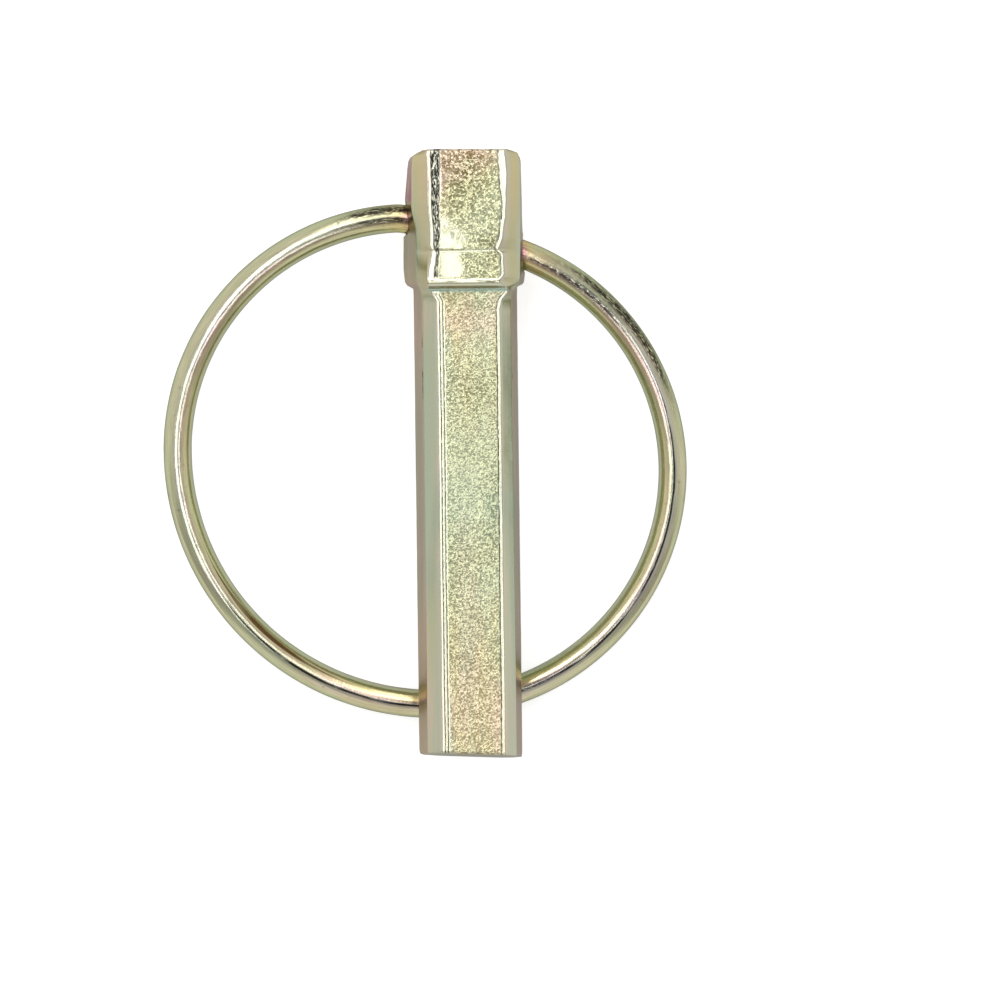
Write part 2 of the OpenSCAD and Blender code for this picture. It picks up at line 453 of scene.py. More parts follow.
    def surface(self) -> tuple[np.ndarray, dict[Mask, np.ndarray]]:
        """The pin's skin as a grid of points, with its masks.

        Each row is the rounded section at one height. It is then moved along its outward normal by the
        forging relief: grooves beside the flats' edges, crinkled flats, the crease, worn patches and dents.

        Returns:
            Points of shape (rows, columns, 3) and masks of shape (rows, columns).
        """
        y = self.heights()
        corners, radii = self.corners(y)
        flat_xz, places = self.section_points(corners, radii)
        height = np.broadcast_to(y[:, None], flat_xz.shape[:2]).copy()
        points = np.stack([flat_xz[..., 0], height, flat_xz[..., 1]], axis=-1)
        tangent = np.roll(flat_xz, -1, axis=1) - np.roll(flat_xz, 1, axis=1)
        tangent /= np.linalg.norm(tangent, axis=-1, keepdims=True)
        normal = np.stack([tangent[..., 1], np.zeros_like(height), -tangent[..., 0]], axis=-1)
        x, z = points[..., 0], points[..., 2]
        facing = np.abs(normal[..., 2])
        on_flat = smooth_step(0.965, 0.999, facing)
        front = (z > 0).astype(float)
        low_edge = np.where(z > 0, corners[:, 3, :1], corners[:, 7, :1])
        high_edge = np.where(z > 0, corners[:, 2, :1], corners[:, 8, :1])
        from_left, from_right = x - low_edge, high_edge - x
        in_head = smooth_step(-0.45, -0.1, height)
        in_shank = 1.0 - smooth_step(-1.2, -0.7, height)
        relief, cavity, inside = self.edge_grooves(points, from_left, from_right, in_head, in_shank)
        relief, cavity = relief * on_flat, cavity * on_flat
        polish = self.worn_patches(x, height) * front
        inside *= 1.0 - smooth_step(-0.7, -0.4, height) * (1.0 - smooth_step(0.3, 0.5, height))
        inside *= 1.0 - 0.8 * bell(self.crease + 0.03 * x, 0.09, height)
        crinkle = on_flat * inside * (1.0 - polish)
        crinkle *= np.clip(0.85 + 0.4 * fractal(points, 5.0, 21), 0.4, 1.2)
        relief += crinkle * lattice_noise(points, (0.45, 0.5, 0.5), 31) * (0.006 + 0.006 * in_head)
        lines = lattice_noise(points, (0.10, 1.1, 1.0), 36) * polish * (1.0 - polish)
        relief += on_flat * (0.02 * polish + 0.012 * lines)
        rim = bell(0.26, 0.07, height + 0.04 * lattice_noise(points, (0.7, 5.0, 5.0), 35))
        rim *= 0.7 + 0.35 * lattice_noise(points, (0.5, 5.0, 5.0), 37)
        relief += on_flat * 0.045 * rim * smooth_step(0.3, 0.6, from_left)
        relief += 0.010 * fractal(points, 4.0, 41, 2) * (1.0 - on_flat)
        relief += self.dents(points, in_head)
        parting = bell(0.0, 0.10, z) * (1 - in_head * 0.3)
        relief += 0.02 * parting * (0.6 + 0.4 * lattice_noise(points, (1.0, 0.9, 1.0), 47))
        points = points + normal * relief[..., None]
        points[..., 1] += self.end_shapes(points)
        scuff = bell(-7.2, 3.6, height) * np.clip(0.5 + lattice_noise(points, (3.0, 0.9, 3.0), 161), 0, 1)
        # The cavity mask is painted dark: shade in the grooves, and scuff marks along the two front side edges some 7
        # mm below the shoulder.
        cavity = np.maximum(cavity, scuff * np.isin(places, (0.5, 4.0))[None])
        cool = bell(-20.0, 6.5, height) * (0.85 + 0.5 * fractal(points, 4.0, 151)) + 0.5 * bell(4.0, 3.0, height)
        # Painted light: the shank's front right facet is lightened through the polish mask and turned sage through the
        # level mask, making up for the dim floor it mirrors.
        right_facet = (1.0 - in_head) * ((places > 0.9) & (places < 1.6))
        cool = np.maximum(cool, 0.85 * right_facet)
        side = np.floor(places)
        across = 2.0 * (places - side)
        from_ridge = np.where(np.isin(side, (1, 6)), 1.0 - across, np.where(np.isin(side, (3, 8)), across, 9.0))
        masks = {
            Mask.CRINKLE: np.clip(crinkle, 0, 1),
            Mask.ROSE: np.maximum(self.rosiness(points, facing), 0.7 * bell(0.06, 0.13, from_ridge)[None]),
            Mask.CAVITY: np.clip(cavity, 0, 1),
            # Burnished patches, plus painted highlight: the smooth edge strips beside the flats and the shank's right
            # facet are lightened.
            Mask.POLISH_AND_HIGHLIGHT: np.maximum(0.6 * polish, 0.75 * (1.0 - inside)) * on_flat + 0.22 * right_facet,
            Mask.STAIN: self.heat_tint(points, facing) + self.facet_tint(points, from_ridge) + 0.35 * np.abs(lines) * on_flat,
            Mask.LEVEL: np.clip(cool, 0, 1),
            Mask.POOL: bell(-0.60, 0.13, height) * smooth_step(0.5, 0.8, facing),
        }
        return points, masks

    def edge_grooves(
        self,
        points: np.ndarray,
        from_left: np.ndarray,
        from_right: np.ndarray,
        in_head: np.ndarray,
        in_shank: np.ndarray,
    ) -> tuple[np.ndarray, np.ndarray, np.ndarray]:
        """Smooth strips along the flats' edges and the grooves inside them, where the metal folded; the material paints
        the grooves dark as shade.

        The left strip leans a little outwards, so that it catches its own light.

        Args:
            points: The skin before relief.
            from_left: Distance in from the flat's left edge.
            from_right: Distance in from its right edge.
            in_head: 1 on the head and collar.
            in_shank: 1 on the shank below the neck.

        Returns:
            Relief in millimetres, how deep in a groove each point lies from 0 to 1, and 1 inside the grooves.
        """
        y = points[..., 1]
        rough = 0.5 + 0.5 * lattice_noise(points, (0.14, 0.2, 0.3), 51)
        wave = lattice_noise(points, (2.0, 1.1, 2.0), 52) * (0.008 + 0.04 * in_head)
        left = follow(y, self.left_strip, 0.1) + wave
        right = follow(y, self.right_strip, 0.1) - wave
        band = follow(y, self.dark_band, 0.1)
        foot = smooth_step(0.3, 0.6, y)
        start, stop = smooth_step(-0.02, 0.06, from_left - left), smooth_step(-0.04, 0.05, from_left - left - band)
        head_left = start * (1.0 - stop) * (0.5 + 0.8 * rough)
        head_right = bell(0.05, 0.05, from_right - right) * (0.6 + 0.4 * rough)
        shank_left = bell(0.07, 0.035, from_left - left) + 0.9 * bell(0.37, 0.04, from_left - left)
        shank_right = bell(0.09, 0.045, from_right - right)
        groove = in_shank * (shank_left + shank_right) + in_head * foot * (head_left + head_right)
        relief = -0.03 * groove - 0.03 * groove * in_head
        relief -= self.lip_slope * np.clip(left - from_left, 0.0, 0.7) * np.maximum(in_shank, in_head * foot)
        past = np.where(in_head > 0.5, left + band + 0.06, left + 0.46)
        inside = smooth_step(0.0, 0.08, from_left - past) * smooth_step(0.1, 0.2, from_right - right)
        return relief, groove, inside

    def rosiness(self, points: np.ndarray, facing: np.ndarray) -> np.ndarray:
        """How far the chromate runs to rose: on the sides, on the head's top and in long faint streaks.

        Args:
            points: The skin before relief.
            facing: How squarely each point faces front or back.

        Returns:
            Rosiness from 0 to 1.
        """
        x, y = points[..., 0], points[..., 1]
        side = 1.0 - smooth_step(0.12, 0.42, facing)
        top = smooth_step(8.6, 11.6, y - 0.6 * x + 1.2 * lattice_noise(points, (1.6, 1.6, 1.6), 131))
        streak = smooth_step(0.1, 0.7, lattice_noise(points, (1.1, 8.0, 1.1), 132))
        neck = bell(-3.4, 1.3, y) * (0.6 + 0.4 * lattice_noise(points, (1.8, 1.8, 1.8), 133))
        top *= 0.15 + 0.85 * smooth_step(0.9, 0.99, facing)
        foot = 0.45 * bell(-38.5, 3.0, y)
        return np.clip(0.95 * side + 0.9 * top + 0.3 * streak + 0.7 * neck + foot, 0, 1)

    def heat_tint(self, points: np.ndarray, facing: np.ndarray) -> np.ndarray:
        """Where the chromate runs on to magenta: the head's upper left side, fading towards the back."""
        x, y, z = points[..., 0], points[..., 1], points[..., 2]
        patchy = 0.52 + 0.32 * lattice_noise(points, (1.3, 1.3, 1.3), 171)
        fade = smooth_step(-3.4, 1.2, z + 0.8 * lattice_noise(points, (1.6, 1.6, 1.6), 172))
        return patchy * fade * (x < 0) * (1.0 - smooth_step(0.2, 0.5, facing)) * smooth_step(6.2, 8.4, y)

    def facet_tint(self, points: np.ndarray, from_ridge: np.ndarray) -> np.ndarray:
        """Where the facets' middles run a little to gold, in long streaks."""
        return bell(0.5, 0.3, from_ridge)[None] * (0.05 + 0.08 * smooth_step(-1.0, 1.0, points[..., 1])) * (
            1.0 + 0.5 * lattice_noise(points, (1.2, 7.0, 1.2), 141)
        )

    def worn_patches(self, x: np.ndarray, y: np.ndarray) -> np.ndarray:
        """Where the head's front is burnished smooth, left of the middle on both sides of the crease.

        Args:
            x: Places across the pin.
            y: Places along it.

        Returns:
            1 in the patches and 0 outside, with ragged eased borders.
        """
        where = np.stack([x, y, np.zeros_like(x)], axis=-1)
        ragged = 0.6 * lattice_noise(where, (0.7, 0.8, 1.0), 91) + 0.6 * lattice_noise(where, (0.22, 0.6, 1), 92)
        across = smooth_step(-2.72, -2.45, x) * (1.0 - smooth_step(-1.0, 0.0, x + 0.7 * ragged))
        low = smooth_step(0.35, 0.6, y) * (1.0 - smooth_step(2.62, 2.8, y))
        high = smooth_step(3.0, 3.2, y) * (1.0 - smooth_step(4.2, 6.0, y + 1.6 * ragged + 0.8 * (x + 1.6)))
        return across * np.clip(low + high, 0, 1)

    def dents(self, points: np.ndarray, in_head: np.ndarray) -> np.ndarray:
        """Shallow handling dents and long die drags, a few hundredths of a millimetre deep."""
        broad = np.clip(lattice_noise(points, (1.7, 2.2, 1.7), 101) - 0.55, 0, 1)
        drag = lattice_noise(points, (0.35, 9.0, 0.35), 102)
        return -0.10 * broad * (0.3 + 0.7 * in_head) + 0.003 * drag

    def end_shapes(self, points: np.ndarray) -> np.ndarray:
        """Lengthwise shift of the points near both sheared ends: the tip's slant and the top's uneven lip."""
        x, y = points[..., 0], points[..., 1]
        at_tip = 1.0 - smooth_step(self.shank_end, self.shank_end + 4.0, y)
        at_top = smooth_step(self.head_top - 2.0, self.head_top, y)
        lip = 0.05 * lattice_noise(points, (1.4, 4.0, 1.4), 111) - 0.05
        chip = -0.10 * bell(4.1, 0.5, x) * bell(2.4, 1.4, points[..., 2])
        return at_tip * self.tip_slant * x + at_top * (lip + chip)

    def cap(self, rim: np.ndarray, rings: int, seed: int, outward: float) -> np.ndarray:
        """Points that close a sheared end: shrinking copies of its rim, broken up by noise.

        Args:
            rim: The end row of the skin, of shape (columns, 3).
            rings: How many copies.
            seed: Seeds the fracture.
            outward: 1 at the top and -1 at the tip.

        Returns:
            Points of shape (rings, columns, 3), the last ring all at the middle.
        """
        middle = rim.mean(axis=0)
        share = (np.arange(1, rings + 1) / rings)[:, None, None]
        points = rim[None] * (1 - share) + middle * share
        grain = 0.03 * fractal(points, 1.1, seed) + 0.012 * lattice_noise(points, (0.2, 0.2, 0.2), seed + 9)
        points[..., 1] += outward * smooth_step(0.0, 0.25, share[..., 0]) * (grain - 0.02)
        return points

    def build(self, attitude: Attitude) -> bpy.types.Object:
        """Makes the pin's mesh and drills the bore.

        Args:
            attitude: Turns the pin into the row frame.

        Returns:
            The finished object.
        """
        skin, masks = self.surface()
        rings = 9
        tip = self.cap(skin[0], rings, 121, -1.0)[::-1]
        top = self.cap(skin[-1], rings, 131, 1.0)
        grid = np.concatenate([tip, skin, top], axis=0)
        rows, columns = grid.shape[:2]
        wide = {}
        for mask, values in masks.items():
            ends = np.full((rings, columns), 0.4 if mask is Mask.CRINKLE else 0.0)
            wide[mask] = np.concatenate([ends, values, ends], axis=0)
        faces = grid_faces(rows, columns)[:, ::-1].tolist()
        obj = make_mesh("pin_forging", attitude.to_row(grid.reshape(-1, 3)), faces, wide)
        weld = obj.modifiers.new("weld", "WELD")
        weld.merge_threshold = 1e-7
        self.drill(obj, attitude)
        return obj

    def drill(self, obj: bpy.types.Object, attitude: Attitude) -> None:
        """Cuts the sloping bore right through the head.

        Args:
            obj: The pin.
            attitude: Gives the bore's place and direction.
        """
        sides, reach = 96, 9.0 * MM
        angle = np.linspace(0.0, 2 * np.pi, sides, endpoint=False)
        circle = np.stack([np.cos(angle), np.sin(angle), np.zeros(sides)], axis=-1) * self.bore_radius * MM
        ends = np.array([[0, 0, -reach], [0, 0, reach]])
        points = (circle[None] + ends[:, None]).reshape(-1, 3)
        faces = grid_faces(2, sides).tolist() + [list(range(sides))[::-1], list(range(sides, 2 * sides))]
        cutter = make_mesh("bore_cutter", points, faces, {})
        turn = Vector(attitude.hinge_axis).to_track_quat("Z", "Y").to_matrix().to_4x4()
        cutter.data.transform(Matrix.Translation(Vector(attitude.hinge)) @ turn)
        cut = obj.modifiers.new("bore", "BOOLEAN")
        cut.operation = "DIFFERENCE"
        cut.solver = "EXACT"
        cut.object = cutter
        depsgraph = bpy.context.evaluated_depsgraph_get()
        finished = bpy.data.meshes.new_from_object(obj.evaluated_get(depsgraph))
        obj.modifiers.clear()
        obj.data = finished
        bpy.data.objects.remove(cutter)


@dataclass
class WireRing:
    """The spring ring: round wire bent in four tangent arcs, with both ends in the bore."""

    wire_radius: float = 1.3
    elbow: tuple[float, float] = (4.5, 20.5)
    left: tuple[float, float] = (21.0, 85.5)
    far: tuple[float, float] = (23.3, 104.5)
    elbow_start: float = 5.1
    stub_end: float = 1.2
    tilt: float = 8.276
    around: int = 44
    step: float = 0.085

    def arcs(self) -> list[tuple[float, float]]:
        """Radius and turn of each arc, in order. The last is worked out so that the wire ends on the bore's axis.

        Returns:
            Pairs of radius in millimetres and turn in radians.
        """
        turns = [(r, np.radians(a)) for r, a in (self.elbow, self.left, self.far)]
        last = 2 * np.pi - sum(turn for _, turn in turns)
        heading, drop = np.pi, 0.0
        for radius, turn in turns:
            drop += radius * (np.cos(heading) - np.cos(heading + turn))
            heading += turn
        closing = -drop / (np.cos(heading) - np.cos(heading + last))
        return turns + [(closing, last)]

    def centre_line(self) -> tuple[np.ndarray, np.ndarray, np.ndarray]:
        """The wire's middle in the ring's own plane.

        Returns:
            Points of shape (n, 2), headings in radians and distances along the wire.
        """
        points = [np.array([[-self.stub_end, 0.0], [-self.elbow_start, 0.0]])]
        headings = [np.array([np.pi, np.pi])]
        place, heading = np.array([-self.elbow_start, 0.0]), np.pi
        for radius, turn in self.arcs():
            count = max(8, int(radius * turn / self.step))
            angle = heading + turn * np.arange(1, count + 1) / count
            centre = place + radius * np.array([-np.sin(heading), np.cos(heading)])
            line = centre + radius * np.stack([np.sin(angle), -np.cos(angle)], axis=-1)
            points.append(line)
            headings.append(angle)
            place, heading = line[-1], heading + turn
        points.append(np.array([[self.stub_end, 0.0]]))
        headings.append(np.array([heading]))
        path = np.concatenate(points)
        steps = np.linalg.norm(np.diff(path, axis=0), axis=-1)
        return path, np.concatenate(headings), np.concatenate([[0.0], np.cumsum(steps)])

    def build(self, attitude: Attitude) -> bpy.types.Object:
        """Carries a round section along the centre line, with drawn flats, waviness and nicks.

        Args:
            attitude: Turns the ring into the row frame.

        Returns:
            The finished object.
        """
        path, heading, along = self.centre_line()
        angle = np.linspace(0.0, 2 * np.pi, self.around, endpoint=False)
        wave = np.stack(np.broadcast_arrays(np.cos(angle)[None] * 1.3, along[:, None], np.sin(angle)[None] * 1.3), -1)
        radius = self.wire_radius - 0.012
        radius = radius + 0.012 * lattice_noise(wave, (0.9, 14.0, 0.9), 201)
        radius = radius + 0.006 * lattice_noise(wave, (0.5, 1.8, 0.5), 202)
        nick = np.clip(lattice_noise(wave, (0.6, 0.5, 0.6), 203) - 0.80, 0, 1)
        radius = radius - 0.10 * nick
        side = np.stack([-np.sin(heading), np.cos(heading)], axis=-1)[:, None]
        flat = path[:, None] + side * (radius * np.cos(angle))[..., None]
        lift = radius * np.sin(angle)
        plane = np.concatenate([flat, lift[..., None]], axis=-1)
        rows, columns = plane.shape[:2]
        faces = grid_faces(rows, columns).tolist()
        faces.append(list(range(columns))[::-1])
        faces.append(list(range((rows - 1) * columns, rows * columns)))
        to_end = np.minimum(along, along[-1] - along)
        stain = 5.2 * np.exp(-to_end / 2.05) + 0.16 * bell(along[-1] * 0.51, 7.0, along)
        stain = np.broadcast_to(stain[:, None], (rows, columns))
        level = np.broadcast_to(np.abs(np.sin(angle))[None], (rows, columns))
        in_front = (np.sin(angle) > 0)[None]
        outer, crown = bell(-0.65, 0.15, np.cos(angle)), bell(0.0, 0.12, np.cos(angle))
        outer_reach = bell(along[-1] - 15.5, 4.2, along) + bell(6.3, 2.0, along)
        crown_reach = bell(along[-1] - 10.0, 4.0, along) + bell(5.8, 2.4, along)
        dried = 2.6 * in_front * (outer_reach[:, None] * outer[None] + 0.7 * crown_reach[:, None] * crown[None])
        # Where along the wire the painted dark reflection line runs: a black line that stands for the dark gap between
        # two lamps mirrored on the wire's front.
        seam = smooth_step(44.0, 60.0, along) * (1.0 - smooth_step(108.0, 121.0, along))
        # Where along the wire the dark brown line runs, about 56 mm from its first end.
        singe = bell(56.0, 5.2, along)
        masks = {
            Mask.STAIN: np.clip(stain, 0, 1),
            Mask.LEVEL: level,
            Mask.CAVITY: np.clip(nick * 3, 0, 1),
            Mask.POOL: np.clip(dried, 0, 1),
            Mask.SEAM: seam[:, None] * in_front,
            Mask.BROWN_LINE: singe[:, None] * in_front,
        }
        points = attitude.to_row(self.to_pin(plane.reshape(-1, 3), attitude))
        obj = make_mesh("ring_wire", points, faces, masks)
        self.unwrap(obj, along, columns)
        return obj

    def to_pin(self, plane: np.ndarray, attitude: Attitude) -> np.ndarray:
        """Tilts the ring behind the shank, slopes it with the bore and lifts it to the bore's height."""
        tilt, slope = np.radians(self.tilt), -attitude.bore_slope()
        lean = np.array([[1, 0, 0], [0, np.cos(tilt), -np.sin(tilt)], [0, np.sin(tilt), np.cos(tilt)]])
        fall = np.array([[np.cos(slope), -np.sin(slope), 0], [np.sin(slope), np.cos(slope), 0], [0, 0, 1]])
        return plane @ (fall @ lean).T + np.array([0.0, attitude.bore_height(), 0.0])

    def unwrap(self, obj: bpy.types.Object, along: np.ndarray, columns: int) -> None:
        """Gives the wire a UV map: U round the wire and V along it, both in millimetres.

        Args:
            obj: The ring.
            along: Distance of each row along the wire.
            columns: Points in a row.
        """
        mesh = obj.data
        layer = mesh.uv_layers.new(name="drawn")
        loops = np.zeros(len(mesh.loops), int)
        mesh.loops.foreach_get("vertex_index", loops)
        starts = np.zeros(len(mesh.polygons), int)
        totals = np.zeros(len(mesh.polygons), int)
        mesh.polygons.foreach_get("loop_start", starts)
        mesh.polygons.foreach_get("loop_total", totals)
        row, column = loops // columns, loops % columns
        first = np.repeat(column[starts], totals)
        column = np.where((first == columns - 1) & (column == 0), columns, column)
        reach = 2 * np.pi * self.wire_radius
        uv = np.stack([column / columns * reach, along[row]], axis=-1)
        layer.data.foreach_set("uv", uv.astype(np.float32).ravel())


def new_group(name: str, inputs: tuple[tuple[str, str], ...], outputs: tuple[tuple[str, str], ...]):
    """Starts a shader node group with named sockets.

    Args:
        name: The group's name.
        inputs: Pairs of socket name and socket type.
        outputs: Pairs of socket name and socket type.

    Returns:
        The group, its input node and its output node.
    """
    group = bpy.data.node_groups.new(name, "ShaderNodeTree")
    for label, kind in inputs:
        group.interface.new_socket(label, in_out="INPUT", socket_type=kind)
    for label, kind in outputs:
        group.interface.new_socket(label, in_out="OUTPUT", socket_type=kind)
    return group, group.nodes.new("NodeGroupInput"), group.nodes.new("NodeGroupOutput")


@dataclass(frozen=True)
class Wiring:
    """Adds nodes to one node tree and joins them."""

    tree: bpy.types.NodeTree

    def add(self, kind: str, **settings) -> bpy.types.Node:
        """Adds a node of a kind, with its settings and its input values.

        Args:
            kind: The node's type, without the ShaderNode that starts it.
            **settings: Node properties by name.

        Returns:
            The new node.
        """
        node = self.tree.nodes.new("ShaderNode" + kind)
        for name, value in settings.items():
            setattr(node, name, value)
        return node

    def join(self, source: bpy.types.NodeSocket, target: bpy.types.NodeSocket) -> None:
        """Links an output to an input."""
        self.tree.links.new(source, target)

    def feed(self, target: bpy.types.NodeSocket, value) -> None:
        """Links a socket to target, or sets target to a plain value."""
        if isinstance(value, bpy.types.NodeSocket):
            self.join(value, target)
        else:
            target.default_value = value

    def noise(self, vector, scale: float, detail: float = 2.0, rough: float = 0.5, twist: float = 0.0):
        """A noise texture's value.

        Args:
            vector: Where the noise is read.
            scale: Its scale.
            detail: Its octaves.
            rough: How fast the octaves fade.
            twist: Its distortion.

        Returns:
            The value's socket.
        """
        node = self.add("TexNoise")
        self.join(vector, node.inputs["Vector"])
        node.inputs["Scale"].default_value = scale
        node.inputs["Detail"].default_value = detail
        node.inputs["Roughness"].default_value = rough
        node.inputs["Distortion"].default_value = twist
        return node.outputs["Fac"]

    def ramp(self, value, stops):
        """Maps a value from 0 to 1 onto colours.

        Args:
            value: The socket to map.
            stops: Pairs of value and colour, rising.

        Returns:
            The colour's socket.
        """
        node = self.add("ValToRGB")
        self.join(value, node.inputs[0])
        elements = node.color_ramp.elements
        while len(elements) < len(stops):
            elements.new(0.5)
        for element, (position, colour) in zip(elements, stops):
            element.position = position
            element.color = colour
        return node.outputs["Color"]

    def stretch(self, value, low: float, high: float, floor: float = 0.0, top: float = 1.0):
        """Maps a value from low to high onto floor to top, and stops there.

        Args:
            value: The socket to map.
            low: Input at the floor.
            high: Input at the top.
            floor: Lowest result.
            top: Highest result.

        Returns:
            The mapped value's socket.
        """
        node = self.add("MapRange", clamp=True)
        self.join(value, node.inputs["Value"])
        for label, number in zip(("From Min", "From Max", "To Min", "To Max"), (low, high, floor, top)):
            node.inputs[label].default_value = number
        return node.outputs["Result"]

    def sum(self, kind: str, first, second):
        """A Math node's value.

        Args:
            kind: The operation.
            first: A socket or number.
            second: A socket or number.

        Returns:
            The result's socket.
        """
        node = self.add("Math", operation=kind)
        self.feed(node.inputs[0], first)
        self.feed(node.inputs[1], second)
        return node.outputs[0]

    def mix(self, share, first, second, kind: str = "MIX"):
        """Mixes two colours.

        Args:
            share: How much of the second, a socket or number.
            first: A colour or socket.
            second: A colour or socket.
            kind: The blend mode.

        Returns:
            The colour's socket.
        """
        node = self.add("Mix", data_type="RGBA", blend_type=kind)
        self.feed(node.inputs["Factor"], share)
        self.feed(node.inputs["A"], first)
        self.feed(node.inputs["B"], second)
        return node.outputs["Result"]


def rgba(red: float, green: float, blue: float) -> tuple[float, float, float, float]:
    """An opaque linear colour from its 0 to 255 screen values."""
    channels = [c / 255 for c in (red, green, blue)]
    linear = [c / 12.92 if c <= 0.04045 else ((c + 0.055) / 1.055) ** 2.4 for c in channels]
    return (*linear, 1.0)


@dataclass(frozen=True)
class Passivation:
    """Yellow chromate over zinc: thin interference colours that drift across the metal."""

    gold: tuple[float, float, float, float] = field(default_factory=lambda: rgba(216, 188, 112))
    magenta: tuple[float, float, float, float] = field(default_factory=lambda: rgba(198, 132, 166))
    rose: tuple[float, float, float, float] = field(default_factory=lambda: rgba(216, 190, 174))

    def group(self) -> bpy.types.NodeTree:
        """Builds the node group once.

        Returns:
            A group from Vector, Pale, Deep, Rose and Tint to Color: drifts of the pale and the deep colour,
            rose laid over by Rose, and gold running to magenta where Tint is high.
        """
        tree, source, sink = new_group(
            "passivation",
            (
                ("Vector", "NodeSocketVector"),
                ("Pale", "NodeSocketColor"),
                ("Deep", "NodeSocketColor"),
                ("Rose", "NodeSocketFloat"),
                ("Tint", "NodeSocketFloat"),
            ),
            (("Color", "NodeSocketColor"),),
        )
        wire = Wiring(tree)
        place = source.outputs["Vector"]
        drift = wire.stretch(wire.noise(place, 1.0, 2.0, 0.5, 0.4), 0.38, 0.62)
        spots = wire.stretch(wire.noise(place, 1.9, 3.0, 0.55, 0.6), 0.36, 0.66, 0.3, 1.0)
        base = wire.mix(drift, source.outputs["Pale"], source.outputs["Deep"])
        base = wire.mix(wire.sum("MULTIPLY", spots, source.outputs["Rose"]), base, self.rose)
        warm = wire.mix(wire.stretch(source.outputs["Tint"], 0.28, 0.52), self.gold, self.magenta)
        wire.join(
            wire.mix(wire.stretch(source.outputs["Tint"], 0.02, 0.5), base, warm), sink.inputs["Color"]
        )
        return tree


@dataclass(frozen=True)
class Grain:
    """Wrinkled skin of forged and plated steel: wandering ridges with hollows between them, which the pin's colour
    darkens as painted shade.
    """

    def group(self) -> bpy.types.NodeTree:
        """Builds the node group once.

        Returns:
            A group from Vector and Size to Height, from 0 in the hollows to 1 on the ridges, and Haze, a much
            finer height.
        """
        tree, source, sink = new_group(
            "grain",
            (("Vector", "NodeSocketVector"), ("Size", "NodeSocketFloat")),
            (("Height", "NodeSocketFloat"), ("Haze", "NodeSocketFloat")),
        )
        wire = Wiring(tree)
        place = wire.add("VectorMath", operation="SCALE")
        wire.join(source.outputs["Vector"], place.inputs[0])
        wire.join(source.outputs["Size"], place.inputs["Scale"])
        wander = wire.noise(place.outputs[0], 1.0, 1.5, 0.5, 0.3)
        ridge = wire.sum("ABSOLUTE", wire.sum("SUBTRACT", wander, 0.5), 0.0)
        wire.join(wire.stretch(ridge, 0.0, 0.14, 1.0, 0.0), sink.inputs["Height"])
        wire.join(wire.noise(place.outputs[0], 5.0, 2.0, 0.6), sink.inputs["Haze"])
        return tree


